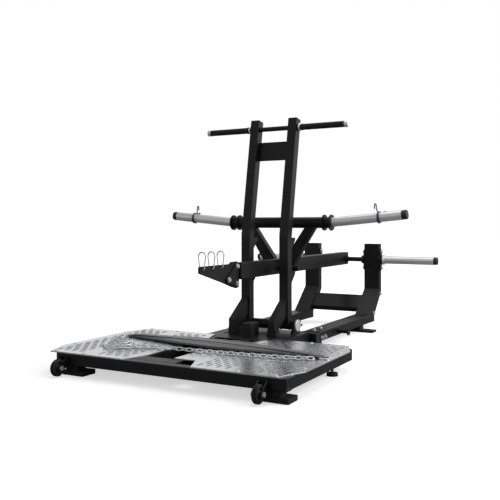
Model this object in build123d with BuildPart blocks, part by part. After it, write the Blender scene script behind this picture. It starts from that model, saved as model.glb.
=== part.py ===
"""Plate-loaded lever belt squat machine.

Row frame, millimetres: X to the right along the platform's front edge, Y backwards from the
platform to the uprights, Z up from the floor. The origin is the bottom centre of the whole box.
"""
from build123d import *
from math import atan2, cos, degrees, hypot, radians, sin
import os

os.makedirs("parts", exist_ok=True)

# ---------------------------------------------------------------- driving sizes
FRONT = -1051.0            # platform front edge, measured from the middle of the whole machine
TUBE = 50.0                # square tube of the platform
WALL = 3.0                 # wall of every steel tube
GAP = 0.3                  # air between pieces that move past each other

DECK_WIDTH = 1240.0        # platform
DECK_DEPTH = 755.0
DECK_UNDERSIDE = 44.0
TREAD = 5.0
CORNER_X = 55.0            # cut corners of the tread plates
CORNER_Y = 135.0
SLOT_LEFT = -120.0         # belt slot between the tread plates
SLOT_RIGHT = 20.0
SLOT_FRONT = FRONT + 120.0
SLOT_REAR = FRONT + 700.0

BASE_HALF = 225.0          # base plate behind the slot
CROSS_Y = FRONT + 1070.0   # front face of the cross beam under the lever
RAIL_INNER = 163.0         # 100 x 50 floor rails and uprights
RAIL_WIDTH = 100.0
RAIL_TOP = 88.0

PIVOT_Y = FRONT + 2140.0   # lever pivot
PIVOT_Z = 428.0
SHAFT_R = 15.0
UPRIGHT_TOP = 533.0
KNEE_Z = 238.0
FOOT_Y = FRONT + 1972.0

TOWER_Y = FRONT + 1012.0   # tower pivot, under the middle of the posts
TOWER_Z = 133.0
POST = 50.0
POST_X = 114.0
POST_KINK_Z = 600.0
POST_LEAN = 10.0           # degrees, above the kink
POST_TOP_Z = 1238.0
BAR_Z = 1186.0
BAR_HALF = 427.0

LEVER_WIDTH = 50.0
LEVER_HEIGHT = 82.0
LEVER_FRONT = FRONT + 702.0
LEVER_TOP = 473.0
RACK_BAR_R = 14.0
RACK_Y = FRONT + 1104.0    # rack bar, free behind the posts
CATCH_TOPS = (412.0, 592.0)
RACK_Z = CATCH_TOPS[0] + RACK_BAR_R + 0.3

WEIGHT_Y = FRONT + 1190.0  # weight tube across the lever
WEIGHT_Z = 672.0
WEIGHT_HALF = 306.0
HORN_R = 25.0              # 50 mm sleeves
HORN_WALL = 5.0
CAP_R = 24.4
HORN_TILT = 5.5
HORN_LENGTH = 385.0

DECK_TOP = DECK_UNDERSIDE + TUBE + TREAD
FRAME_TOP = DECK_UNDERSIDE + TUBE
SIDES = (-1.0, 1.0)


def save(part, label):
    """Name a finished piece and write it."""
    part.label = label
    export_step(part, f"parts/{label}.step")


def across(x):
    """Plane square to X at x: its own x runs backwards and its own y runs up."""
    return Plane(origin=(x, 0, 0), x_dir=(0, 1, 0), z_dir=(1, 0, 0))


def along(y):
    """Plane square to Y at y: its own x runs right and its own y runs up."""
    return Plane(origin=(0, y, 0), x_dir=(1, 0, 0), z_dir=(0, -1, 0))


def post_middle(z):
    """Y of a post's middle at height z."""
    return TOWER_Y + max(0.0, z - POST_KINK_Z) * sin(radians(POST_LEAN)) / cos(radians(POST_LEAN))


# ---------------------------------------------------------------- platform frame
BEAM_HALF = DECK_WIDTH / 2 - 20
FRONT_BEAM_LEFT = -528.0   # the front left corner of the frame is cut off like the sheet over it
SIDE_BEAM_START = {"left": FRONT + CORNER_Y, "right": FRONT + TUBE}
REAR_CUT = 55.0            # both rear corners are cut off

with BuildPart() as front_beam:
    with BuildSketch(across(FRONT_BEAM_LEFT)):
        with Locations((FRONT + TUBE / 2, DECK_UNDERSIDE + TUBE / 2)):
            RectangleRounded(TUBE, TUBE, 4)
            Rectangle(TUBE - 2 * WALL, TUBE - 2 * WALL, mode=Mode.SUBTRACT)
    extrude(amount=BEAM_HALF - FRONT_BEAM_LEFT)
save(front_beam.part, "front_beam")

with BuildPart() as rear_beam:
    with BuildSketch(across(REAR_CUT - BEAM_HALF)):
        with Locations((FRONT + DECK_DEPTH - TUBE / 2, DECK_UNDERSIDE + TUBE / 2)):
            RectangleRounded(TUBE, TUBE, 4)
            Rectangle(TUBE - 2 * WALL, TUBE - 2 * WALL, mode=Mode.SUBTRACT)
    extrude(amount=2 * (BEAM_HALF - REAR_CUT))
save(rear_beam.part, "rear_beam")

SIDE_BEAM_END = FRONT + DECK_DEPTH - REAR_CUT
REAR_FACE = FRONT + DECK_DEPTH
CORNER_OUTLINES = [
    [
        (FRONT_BEAM_LEFT, FRONT),
        (FRONT_BEAM_LEFT, FRONT + TUBE),
        (TUBE - BEAM_HALF, SIDE_BEAM_START["left"]),
        (-BEAM_HALF, SIDE_BEAM_START["left"]),
    ],
    *[
        [
            (side * (BEAM_HALF - TUBE), SIDE_BEAM_END),
            (side * BEAM_HALF, SIDE_BEAM_END),
            (side * (BEAM_HALF - REAR_CUT), REAR_FACE),
            (side * (BEAM_HALF - REAR_CUT), REAR_FACE - TUBE),
        ]
        for side in SIDES
    ],
]

with BuildPart() as side_beams:
    for side, start in zip(SIDES, SIDE_BEAM_START.values()):
        with BuildSketch(along(start)):
            with Locations((side * (BEAM_HALF - TUBE / 2), FRAME_TOP - TUBE / 2)):
                RectangleRounded(TUBE, TUBE, 4)
                Rectangle(TUBE - 2 * WALL, TUBE - 2 * WALL, mode=Mode.SUBTRACT)
        extrude(amount=start - SIDE_BEAM_END)
    for outline in CORNER_OUTLINES:
        with BuildSketch(Plane.XY.offset(DECK_UNDERSIDE)):
            with BuildLine():
                Polyline(*outline, close=True)
            make_face()
            offset(amount=-WALL, mode=Mode.SUBTRACT)
        extrude(amount=TUBE - WALL)
        with BuildSketch(Plane.XY.offset(FRAME_TOP - WALL)):
            with BuildLine():
                Polyline(*outline, close=True)
            make_face()
        extrude(amount=WALL)
save(side_beams.part, "side_beams")

with BuildPart() as slot_beams:
    with BuildSketch(along(FRONT + TUBE)):
        with Locations(
            (SLOT_LEFT - TUBE / 2, FRAME_TOP - TUBE / 2),
            (SLOT_RIGHT + TUBE / 2, FRAME_TOP - TUBE / 2),
        ):
            RectangleRounded(TUBE, TUBE, 4)
            Rectangle(TUBE - 2 * WALL, TUBE - 2 * WALL, mode=Mode.SUBTRACT)
    extrude(amount=2 * TUBE - DECK_DEPTH)
save(slot_beams.part, "slot_beams")

RIB = 40.0
RIBS_Y = (FRONT + DECK_DEPTH / 3, FRONT + DECK_DEPTH * 2 / 3)

with BuildPart() as deck_ribs:
    for start, end in (
        (TUBE - BEAM_HALF, SLOT_LEFT - TUBE),
        (SLOT_RIGHT + TUBE, BEAM_HALF - TUBE),
    ):
        with BuildSketch(across(start)):
            with Locations(*[(y, FRAME_TOP - RIB / 2) for y in RIBS_Y]):
                Rectangle(RIB, RIB)
                Rectangle(RIB - 2 * WALL, RIB - 2 * WALL, mode=Mode.SUBTRACT)
        extrude(amount=end - start)
save(deck_ribs.part, "deck_ribs")

with BuildPart() as slot_tray:
    with BuildSketch(Plane.XY.offset(DECK_UNDERSIDE)):
        with Locations(((SLOT_LEFT + SLOT_RIGHT) / 2, FRONT + DECK_DEPTH / 2)):
            Rectangle(SLOT_RIGHT - SLOT_LEFT, DECK_DEPTH - 2 * TUBE)
    extrude(amount=WALL)
    with BuildSketch(Plane.XY.offset(FRAME_TOP - WALL)):
        with Locations(((SLOT_LEFT + SLOT_RIGHT) / 2, (FRONT + TUBE + SLOT_FRONT) / 2)):
            Rectangle(SLOT_RIGHT - SLOT_LEFT, SLOT_FRONT - FRONT - TUBE)
    extrude(amount=WALL)
    with BuildSketch(Plane.XY.offset(DECK_UNDERSIDE + WALL)):
        with Locations(((SLOT_LEFT + SLOT_RIGHT) / 2, SLOT_FRONT - WALL / 2)):
            Rectangle(SLOT_RIGHT - SLOT_LEFT, WALL)
    extrude(amount=TUBE - 2 * WALL)
save(slot_tray.part, "slot_tray")

# ---------------------------------------------------------------- tread plates
INNER_CUT = 60.0           # cut corners along the slot
LEFT_INNER_CUT = 45.0
TREAD_BACK = FRONT + DECK_DEPTH

with BuildPart() as tread_plate_left:
    with BuildSketch(Plane.XY.offset(FRAME_TOP)):
        with BuildLine():
            Polyline(
                (-DECK_WIDTH / 2 + CORNER_X, FRONT),
                (SLOT_LEFT - LEFT_INNER_CUT, FRONT),
                (SLOT_LEFT, FRONT + CORNER_Y),
                (SLOT_LEFT, TREAD_BACK - CORNER_Y),
                (SLOT_LEFT - LEFT_INNER_CUT, TREAD_BACK),
                (-DECK_WIDTH / 2 + CORNER_X, TREAD_BACK),
                (-DECK_WIDTH / 2, TREAD_BACK - CORNER_Y),
                (-DECK_WIDTH / 2, FRONT + CORNER_Y),
                close=True,
            )
        make_face()
    extrude(amount=TREAD)
    chamfer(tread_plate_left.faces().sort_by(Axis.Z)[-1].edges(), 0.8)
save(tread_plate_left.part, "tread_plate_left")

with BuildPart() as tread_plate_right:
    with BuildSketch(Plane.XY.offset(FRAME_TOP)):
        with BuildLine():
            Polyline(
                (DECK_WIDTH / 2 - CORNER_X, FRONT),
                (-SLOT_LEFT + INNER_CUT, FRONT),
                (-SLOT_LEFT + 7, SLOT_FRONT),
                (SLOT_RIGHT, SLOT_FRONT),
                (SLOT_RIGHT, TREAD_BACK - 120),
                (-SLOT_LEFT + 7, TREAD_BACK - 120),
                (-SLOT_LEFT + INNER_CUT, TREAD_BACK),
                (DECK_WIDTH / 2 - CORNER_X, TREAD_BACK),
                (DECK_WIDTH / 2, TREAD_BACK - CORNER_Y),
                (DECK_WIDTH / 2, FRONT + CORNER_Y),
                close=True,
            )
        make_face()
    extrude(amount=TREAD)
    chamfer(tread_plate_right.faces().sort_by(Axis.Z)[-1].edges(), 0.8)
save(tread_plate_right.part, "tread_plate_right")

with BuildPart() as tread_screws:
    for side in SIDES:
        for x in (385.0, 548.0):
            for y in (FRONT + 20, FRONT + DECK_DEPTH - 20):
                with BuildSketch(Plane.XY.offset(DECK_TOP)):
                    with Locations((side * x, y)):
                        Circle(8)
                extrude(amount=3)
        for y in (FRONT + 190, FRONT + DECK_DEPTH - 190):
            with BuildSketch(Plane.XY.offset(DECK_TOP)):
                with Locations((side * 592, y)):
                    Circle(8)
            extrude(amount=3)
    chamfer(tread_screws.faces().filter_by(Plane.XY).group_by(Axis.Z)[-1].edges(), 1)
save(tread_screws.part, "tread_screws")

# ---------------------------------------------------------------- feet and wheels of the platform
FOOT_PAD = 20.0
FRONT_FEET_X = (-436.0, 553.0)
LEVELLER_Y = FRONT + 545.0

with BuildPart() as front_feet:
    for x in FRONT_FEET_X:
        with BuildSketch(Plane.XY):
            with Locations((x, FRONT + 44)):
                RectangleRounded(116, 86, 4)
        extrude(amount=FOOT_PAD)
        with BuildSketch(Plane.XY.offset(FOOT_PAD)):
            with Locations((x - 12, FRONT + 36)):
                Rectangle(70, 50)
        extrude(amount=DECK_UNDERSIDE - FOOT_PAD)
save(front_feet.part, "front_feet")

with BuildPart() as levelling_feet:
    for side in SIDES:
        with BuildSketch(Plane.XY):
            with Locations((side * 565, LEVELLER_Y)):
                Circle(26)
        extrude(amount=14, taper=8)
        with BuildSketch(Plane.XY.offset(14)):
            with Locations((side * 565, LEVELLER_Y)):
                Circle(6)
        extrude(amount=DECK_UNDERSIDE - 14)
save(levelling_feet.part, "levelling_feet")

WHEEL_R = 37.0
WHEEL_WIDTH = 26.0
WHEEL_Y = FRONT - 46.0
WHEEL_Z = 39.0
WHEEL_X = {"left": -478.0, "right": 510.0}
AXLE_R = 6.0
BRACKET = 6.0

with BuildPart() as wheel_brackets:
    for x in WHEEL_X.values():
        for cheek in (-1, 1):
            start = x + cheek * (WHEEL_WIDTH / 2 + 2) + (0 if cheek > 0 else -BRACKET)
            with BuildSketch(across(start)):
                with BuildLine():
                    Polyline(
                        (FRONT, DECK_UNDERSIDE + 38),
                        (FRONT - 8, DECK_UNDERSIDE + 38),
                        (WHEEL_Y - 15, WHEEL_Z + 8),
                        (WHEEL_Y - 15, WHEEL_Z - 15),
                        (WHEEL_Y + 12, WHEEL_Z - 15),
                        (FRONT, DECK_UNDERSIDE + 4),
                        close=True,
                    )
                make_face()
                with Locations((WHEEL_Y, WHEEL_Z)):
                    Circle(AXLE_R, mode=Mode.SUBTRACT)
            extrude(amount=BRACKET)
save(wheel_brackets.part, "wheel_brackets")

with BuildPart() as wheel_axles:
    for x in WHEEL_X.values():
        half = WHEEL_WIDTH / 2 + 2 + BRACKET
        with BuildSketch(across(x - half - 6)):
            with Locations((WHEEL_Y, WHEEL_Z)):
                Circle(AXLE_R)
        extrude(amount=2 * half + 12)
        with BuildSketch(across(x + half)):
            with Locations((WHEEL_Y, WHEEL_Z)):
                RegularPolygon(radius=10.5, side_count=6)
        extrude(amount=7)
        with BuildSketch(across(x - half)):
            with Locations((WHEEL_Y, WHEEL_Z)):
                RegularPolygon(radius=10.5, side_count=6)
        extrude(amount=-7)
save(wheel_axles.part, "wheel_axles")

for name, x in WHEEL_X.items():
    with BuildPart() as wheel:
        with BuildSketch(across(x - WHEEL_WIDTH / 2)):
            with Locations((WHEEL_Y, WHEEL_Z)):
                Circle(WHEEL_R)
                Circle(AXLE_R + 0.05, mode=Mode.SUBTRACT)
        extrude(amount=WHEEL_WIDTH)
        fillet(wheel.edges().filter_by(GeomType.CIRCLE).group_by(SortBy.RADIUS)[-1], 5)
        for face_x, depth in ((x - WHEEL_WIDTH / 2, 4), (x + WHEEL_WIDTH / 2, -4)):
            with BuildSketch(across(face_x)):
                with Locations((WHEEL_Y, WHEEL_Z)):
                    Circle(26)
                    Circle(13, mode=Mode.SUBTRACT)
            extrude(amount=depth, mode=Mode.SUBTRACT)
    save(wheel.part, f"wheel_{name}")

# ---------------------------------------------------------------- base behind the platform
with BuildPart() as base_plate:
    with BuildSketch(Plane.XY.offset(DECK_UNDERSIDE)):
        with Locations((0, (FRONT + DECK_DEPTH + CROSS_Y) / 2)):
            Rectangle(2 * BASE_HALF, CROSS_Y - FRONT - DECK_DEPTH)
    extrude(amount=TUBE)
    with BuildSketch(Plane.XY.offset(DECK_UNDERSIDE)):
        with Locations((0, (FRONT + DECK_DEPTH + CROSS_Y) / 2)):
            Rectangle(2 * BASE_HALF - 12, CROSS_Y - FRONT - DECK_DEPTH - 12)
    extrude(amount=TUBE - 6, mode=Mode.SUBTRACT)
    with BuildSketch(Plane.XY.offset(FRAME_TOP - 6)):
        with Locations((-150, FRONT + 850)):
            SlotOverall(60, 14, rotation=90)
    extrude(amount=6, mode=Mode.SUBTRACT)
save(base_plate.part, "base_plate")

with BuildPart() as cross_beam:
    with BuildSketch(across(-RAIL_INNER - RAIL_WIDTH)):
        with Locations((CROSS_Y + TUBE / 2, RAIL_TOP - TUBE / 2)):
            RectangleRounded(TUBE, TUBE, 4)
            Rectangle(TUBE - 2 * WALL, TUBE - 2 * WALL, mode=Mode.SUBTRACT)
    extrude(amount=2 * (RAIL_INNER + RAIL_WIDTH))
save(cross_beam.part, "cross_beam")

RAIL_X = RAIL_INNER + RAIL_WIDTH / 2
RAIL_START = CROSS_Y + TUBE

with BuildPart() as floor_rails:
    with BuildSketch(along(RAIL_START)):
        with Locations(*[(side * RAIL_X, RAIL_TOP - TUBE / 2) for side in SIDES]):
            RectangleRounded(RAIL_WIDTH, TUBE, 4)
            Rectangle(RAIL_WIDTH - 2 * WALL, TUBE - 2 * WALL, mode=Mode.SUBTRACT)
    extrude(amount=RAIL_START - FOOT_Y + 30)
save(floor_rails.part, "floor_rails")


UPRIGHT_FOOT = FOOT_Y - 30
UPRIGHT_OUTLINE = (
    (UPRIGHT_FOOT, RAIL_TOP - TUBE),
    (UPRIGHT_FOOT, RAIL_TOP),
    (PIVOT_Y - TUBE / 2, KNEE_Z),
    (PIVOT_Y - TUBE / 2, UPRIGHT_TOP),
    (PIVOT_Y + TUBE / 2, UPRIGHT_TOP),
    (PIVOT_Y + TUBE / 2, KNEE_Z - 20.7),
    (UPRIGHT_FOOT + 82, RAIL_TOP - 8),
    (UPRIGHT_FOOT + 82, RAIL_TOP - TUBE),
)

for name, side in zip(("left", "right"), SIDES):
    with BuildPart() as upright:
        for inset, mode in ((0, Mode.ADD), (WALL, Mode.SUBTRACT)):
            with BuildSketch(across(side * RAIL_X - RAIL_WIDTH / 2 + inset)):
                with BuildLine():
                    Polyline(*UPRIGHT_OUTLINE, close=True)
                make_face()
                offset(amount=-inset, kind=Kind.INTERSECTION, mode=Mode.REPLACE)
            extrude(amount=RAIL_WIDTH - 2 * inset, mode=mode)
        with BuildSketch(across(side * RAIL_X - RAIL_WIDTH / 2)):
            with Locations((PIVOT_Y, PIVOT_Z)):
                Circle(SHAFT_R + 4)
        extrude(amount=RAIL_WIDTH, mode=Mode.SUBTRACT)
        fillet(upright.edges().filter_by(Axis.X).group_by(Axis.Z)[-1], 3)
    save(upright.part, f"upright_{name}")

KNEE_RISE = degrees(atan2(KNEE_Z - RAIL_TOP, PIVOT_Y - TUBE / 2 - FOOT_Y + 30))
BRACE_MIDDLE = 0.52

with BuildPart() as rear_cross_beam:
    beam_y = FOOT_Y - 30 + BRACE_MIDDLE * (PIVOT_Y - TUBE / 2 - FOOT_Y + 30) + 22
    beam_z = RAIL_TOP + BRACE_MIDDLE * (KNEE_Z - RAIL_TOP) - 22
    with BuildSketch(across(-RAIL_INNER)):
        with Locations((beam_y, beam_z)):
            RectangleRounded(120, 40, 4, rotation=KNEE_RISE)
            Rectangle(120 - 2 * WALL, 40 - 2 * WALL, rotation=KNEE_RISE, mode=Mode.SUBTRACT)
    extrude(amount=2 * RAIL_INNER)
save(rear_cross_beam.part, "rear_cross_beam")

REAR_FOOT_Y = FRONT + 1810.0

with BuildPart() as rear_feet:
    for side in SIDES:
        with BuildSketch(Plane.XY):
            with Locations((side * 250, REAR_FOOT_Y)):
                RectangleRounded(170, 80, 5)
        extrude(amount=12)
        with BuildSketch(Plane.XY.offset(12)):
            with Locations((side * RAIL_X, REAR_FOOT_Y)):
                Rectangle(80, 60)
        extrude(amount=RAIL_TOP - TUBE - 12)
        with BuildSketch(Plane.XY):
            with Locations((side * RAIL_X, CROSS_Y + 60)):
                RectangleRounded(90, 70, 5)
        extrude(amount=RAIL_TOP - TUBE)
save(rear_feet.part, "rear_feet")

BOLT_R = 10.0
BOLT_HEAD = 7.0
BEARING = 22.0
BEARING_PLATE = 8.0
BEARING_BOLT = 54.0


def bolt_heads(plane, spots):
    """Hex heads with washers on a plane."""
    with BuildPart() as heads:
        with BuildSketch(plane):
            with Locations(*spots):
                Circle(BOLT_R + 2)
        extrude(amount=2)
        with BuildSketch(plane.offset(2)):
            with Locations(*spots):
                RegularPolygon(radius=BOLT_R, side_count=6)
        extrude(amount=BOLT_HEAD)
    return heads.part


RAIL_OUTER = RAIL_INNER + RAIL_WIDTH
CORNER_BOLTS_Y = (CROSS_Y + 110, CROSS_Y + 200)
SIDE_BOLTS_Y = (CROSS_Y + 80, CROSS_Y + 125)

with BuildPart() as frame_bolts:
    for side in SIDES:
        add(bolt_heads(Plane.XY.offset(RAIL_TOP), [(side * (RAIL_X - 8), y) for y in CORNER_BOLTS_Y]))
        outer = Plane(origin=(side * RAIL_OUTER, 0, 0), x_dir=(0, 1, 0), z_dir=(side, 0, 0))
        flip = 1 if side > 0 else -1
        add(bolt_heads(outer, [(y, flip * (RAIL_TOP - 32)) for y in SIDE_BOLTS_Y]))
        add(bolt_heads(outer, [(PIVOT_Y - 2, flip * 205), (FOOT_Y + 38, flip * 92)]))
        for face, way in ((RAIL_INNER, -1), (RAIL_OUTER, 1)):
            seat = Plane(origin=(side * face, 0, 0), x_dir=(0, 1, 0), z_dir=(side * way, 0, 0))
            flip = 1 if side * way > 0 else -1
            spots = [(PIVOT_Y, flip * (PIVOT_Z + up)) for up in (-BEARING_BOLT, BEARING_BOLT)]
            add(bolt_heads(seat.offset(BEARING_PLATE), spots))
save(frame_bolts.part, "frame_bolts")

PEG_Y = FRONT + 1385.0

with BuildPart() as band_pegs:
    for side in SIDES:
        outer = Plane(origin=(side * RAIL_OUTER, 0, 0), x_dir=(0, 1, 0), z_dir=(side, 0, 0))
        flip = 1 if side > 0 else -1
        with BuildSketch(outer):
            with Locations((PEG_Y, flip * (RAIL_TOP - 26))):
                Circle(12)
        extrude(amount=60)
        with BuildSketch(outer.offset(60)):
            with Locations((PEG_Y, flip * (RAIL_TOP - 26))):
                Circle(22)
        extrude(amount=6)
save(band_pegs.part, "band_pegs")

# ---------------------------------------------------------------- lever pivot and plate storage
with BuildPart() as flange_bearings:
    for side in SIDES:
        for face, way in ((RAIL_INNER, -1), (RAIL_OUTER, 1)):
            seat = Plane(origin=(side * face, 0, 0), x_dir=(0, 1, 0), z_dir=(side * way, 0, 0))
            flip = 1 if side * way > 0 else -1
            with BuildSketch(seat):
                with Locations((PIVOT_Y, flip * PIVOT_Z)):
                    Ellipse(24, 72)
                    Circle(34)
                    Circle(SHAFT_R + 0.05, mode=Mode.SUBTRACT)
            extrude(amount=BEARING_PLATE)
            with BuildSketch(seat.offset(BEARING_PLATE)):
                with Locations((PIVOT_Y, flip * PIVOT_Z)):
                    Circle(27)
                    Circle(SHAFT_R + 0.05, mode=Mode.SUBTRACT)
            extrude(amount=BEARING - BEARING_PLATE)
save(flange_bearings.part, "flange_bearings")

STORE_START = RAIL_OUTER + BEARING
STORE_END = 617.0

with BuildPart() as storage_horns:
    for side in SIDES:
        outer = Plane(origin=(side * STORE_START, 0, 0), x_dir=(0, 1, 0), z_dir=(side, 0, 0))
        flip = 1 if side > 0 else -1
        with BuildSketch(outer):
            with Locations((PIVOT_Y, flip * PIVOT_Z)):
                Circle(33)
        extrude(amount=8)
        with BuildSketch(outer.offset(8)):
            with Locations((PIVOT_Y, flip * PIVOT_Z)):
                Circle(HORN_R)
                Circle(HORN_R - HORN_WALL, mode=Mode.SUBTRACT)
        extrude(amount=STORE_END - STORE_START - 8)
save(storage_horns.part, "storage_horns")

with BuildPart() as storage_horn_caps:
    for side in SIDES:
        outer = Plane(origin=(side * STORE_END, 0, 0), x_dir=(0, 1, 0), z_dir=(side, 0, 0))
        flip = 1 if side > 0 else -1
        with BuildSketch(outer):
            with Locations((PIVOT_Y, flip * PIVOT_Z)):
                Circle(CAP_R)
        extrude(amount=24)
    ends = storage_horn_caps.edges().filter_by(GeomType.CIRCLE).group_by(Axis.X)
    fillet(ends[0] + ends[-1], 5)
save(storage_horn_caps.part, "storage_horn_caps")

# ---------------------------------------------------------------- tower pivot on the base plate
AXLE = 12.5
EAR_X = 163.0
EAR = 18.0

with BuildPart() as tower_ears:
    for side in SIDES:
        with BuildSketch(across(side * EAR_X if side > 0 else -EAR_X - EAR)):
            with BuildLine():
                Polyline(
                    (TOWER_Y - 42, FRAME_TOP),
                    (TOWER_Y - 27, TOWER_Z),
                )
                RadiusArc((TOWER_Y - 27, TOWER_Z), (TOWER_Y + 27, TOWER_Z), 27)
                Polyline(
                    (TOWER_Y + 27, TOWER_Z),
                    (TOWER_Y + 42, FRAME_TOP),
                    (TOWER_Y - 42, FRAME_TOP),
                )
            make_face()
            with Locations((TOWER_Y, TOWER_Z)):
                Circle(AXLE, mode=Mode.SUBTRACT)
        extrude(amount=EAR)
save(tower_ears.part, "tower_ears")

with BuildPart() as tower_axle:
    with BuildSketch(across(-EAR_X - EAR)):
        with Locations((TOWER_Y, TOWER_Z)):
            Circle(AXLE)
    extrude(amount=2 * (EAR_X + EAR))
    for side in SIDES:
        with BuildSketch(across(side * (EAR_X + EAR))):
            with Locations((TOWER_Y, TOWER_Z)):
                Circle(31)
        extrude(amount=side * 8)
    rims = tower_axle.edges().filter_by(GeomType.CIRCLE).group_by(Axis.X)
    chamfer(rims[0] + rims[-1], 1.5)
save(tower_axle.part, "tower_axle")

STOP_Y = FRONT + 868.0
STOP_TOP = 124.0

with BuildPart() as tower_stops:
    for side in SIDES:
        with BuildSketch(Plane.XY.offset(FRAME_TOP)):
            with Locations((side * POST_X, STOP_Y)):
                RectangleRounded(54, 44, 5)
        extrude(amount=STOP_TOP - FRAME_TOP)
save(tower_stops.part, "tower_stops")

with BuildPart() as bump_stop:
    with BuildSketch(Plane.XY.offset(FRAME_TOP)):
        with Locations((0, FRONT + 832)):
            RectangleRounded(60, 84, 6)
    extrude(amount=160 - FRAME_TOP)
    fillet(bump_stop.faces().sort_by(Axis.Z)[-1].edges(), 5)
save(bump_stop.part, "bump_stop")

# ---------------------------------------------------------------- tower
SLEEVE_R = 24.0

with BuildPart() as pivot_sleeve:
    with BuildSketch(across(-EAR_X + 1)):
        with Locations((TOWER_Y, TOWER_Z)):
            Circle(SLEEVE_R)
            Circle(AXLE + 0.05, mode=Mode.SUBTRACT)
    extrude(amount=2 * EAR_X - 2)
save(pivot_sleeve.part, "pivot_sleeve")

LEAN_TOP = post_middle(POST_TOP_Z)
TOP_DROP = POST * sin(radians(POST_LEAN))


def post_outline(inset):
    """Corners of a kinked post seen from the side, inset from its faces."""
    front = -POST / 2 + inset
    back = POST / 2 - inset
    return (
        (TOWER_Y + front, TOWER_Z),
        (TOWER_Y + front, POST_KINK_Z),
        (LEAN_TOP + front, POST_TOP_Z - inset),
        (LEAN_TOP + back, POST_TOP_Z - TOP_DROP - inset),
        (TOWER_Y + back, POST_KINK_Z),
        (TOWER_Y + back, TOWER_Z),
    )


for name, side in zip(("left", "right"), SIDES):
    with BuildPart() as post:
        with BuildSketch(across(side * POST_X - POST / 2)):
            with BuildLine():
                Polyline(*post_outline(0), close=True)
            make_face()
        extrude(amount=POST)
        with BuildSketch(across(side * POST_X - POST / 2 + WALL)):
            with BuildLine():
                Polyline(*post_outline(WALL), close=True)
            make_face()
        extrude(amount=POST - 2 * WALL, mode=Mode.SUBTRACT)
        with BuildSketch(across(side * POST_X - POST / 2)):
            with Locations((TOWER_Y, TOWER_Z)):
                Circle(SLEEVE_R)
            with Locations((post_middle(BAR_Z), BAR_Z)):
                Circle(12.5)
        extrude(amount=POST, mode=Mode.SUBTRACT)
    save(post.part, f"post_{name}")

BRACE_RISE = 0.70          # slope of a brace
BRACE = 36.0
BRACE_FOOT = STOP_TOP + 4 * GAP
BRACE_FRONT_Y = STOP_Y - 28
BRACE_HEEL_Y = STOP_Y + 32
BRACE_END_Y = TOWER_Y - POST / 2
BRACE_HIGH = BRACE * hypot(1, BRACE_RISE)


def brace_outline(inset):
    """Corners of a brace seen from the side: level underneath, upright in front."""
    front = BRACE_FRONT_Y + inset
    slant = inset * hypot(1, BRACE_RISE)
    foot = BRACE_FOOT + inset
    toe = BRACE_FOOT + BRACE_HIGH
    top = toe + (BRACE_END_Y - BRACE_FRONT_Y) * BRACE_RISE
    under = BRACE_FOOT + (BRACE_END_Y - BRACE_HEEL_Y) * BRACE_RISE
    return (
        (front, foot),
        (BRACE_HEEL_Y - (slant - inset) / BRACE_RISE, foot),
        (BRACE_END_Y, under + slant),
        (BRACE_END_Y, top - slant),
        (front, toe + inset * BRACE_RISE - slant),
    )


with BuildPart() as tower_braces:
    for side in SIDES:
        for inset, mode in ((0, Mode.ADD), (WALL, Mode.SUBTRACT)):
            half = BRACE / 2 - inset
            with BuildSketch(across(side * POST_X - half)):
                with BuildLine():
                    Polyline(*brace_outline(inset), close=True)
                make_face()
            extrude(amount=2 * half, mode=mode)
save(tower_braces.part, "tower_braces")

CATCH_LENGTH = 51.0
POST_BACK = TOWER_Y + POST / 2

with BuildPart() as rack_catches:
    for side in SIDES:
        for top in CATCH_TOPS:
            back = POST_BACK
            with BuildSketch(across(side * POST_X - 22)):
                with BuildLine():
                    Polyline(
                        (back, top),
                        (back + CATCH_LENGTH, top),
                        (back + CATCH_LENGTH, top - 12),
                        (back, top - 66),
                        close=True,
                    )
                make_face()
            extrude(amount=44)
save(rack_catches.part, "rack_catches")

PLATE_LOW = 1010.0
PLATE_HIGH = 1114.0

with BuildPart() as cross_plate:
    middle = (PLATE_LOW + PLATE_HIGH) / 2
    lean = Plane(
        origin=(0, post_middle(middle) + 8, middle), x_dir=(1, 0, 0), z_dir=(0, -1, sin(radians(POST_LEAN)))
    )
    with BuildSketch(lean):
        RectangleRounded(2 * POST_X - POST, PLATE_HIGH - PLATE_LOW, 2)
    extrude(amount=-5)
save(cross_plate.part, "cross_plate")

GRIP_START = 162.0
GRIP_END = BAR_HALF - 20
BAR_Y = post_middle(BAR_Z)

with BuildPart() as handle_bar:
    with BuildSketch(across(-BAR_HALF + 12)):
        with Locations((BAR_Y, BAR_Z)):
            Circle(12.5)
            Circle(12.5 - WALL, mode=Mode.SUBTRACT)
    extrude(amount=2 * BAR_HALF - 24)
save(handle_bar.part, "handle_bar")

with BuildPart() as bar_grips:
    for side in SIDES:
        outer = across(side * GRIP_START)
        with BuildSketch(outer):
            with Locations((BAR_Y, BAR_Z)):
                Circle(16.5)
                Circle(12.5, mode=Mode.SUBTRACT)
        extrude(amount=side * (GRIP_END - GRIP_START))
save(bar_grips.part, "bar_grips")

with BuildPart() as bar_end_caps:
    for side in SIDES:
        with BuildSketch(across(side * GRIP_END)):
            with Locations((BAR_Y, BAR_Z)):
                Circle(17)
                Circle(12.5, mode=Mode.SUBTRACT)
        extrude(amount=side * (BAR_HALF - 8 - GRIP_END))
        with BuildSketch(across(side * (BAR_HALF - 8))):
            with Locations((BAR_Y, BAR_Z)):
                Circle(17)
        extrude(amount=side * 8)
    tips = bar_end_caps.edges().filter_by(GeomType.CIRCLE).group_by(Axis.X)
    fillet(tips[0] + tips[-1], 3)
save(bar_end_caps.part, "bar_end_caps")

# ---------------------------------------------------------------- lever
LEVER_BACK = PIVOT_Y + 45.0
LEVER_Z = LEVER_TOP - LEVER_HEIGHT / 2

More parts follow.
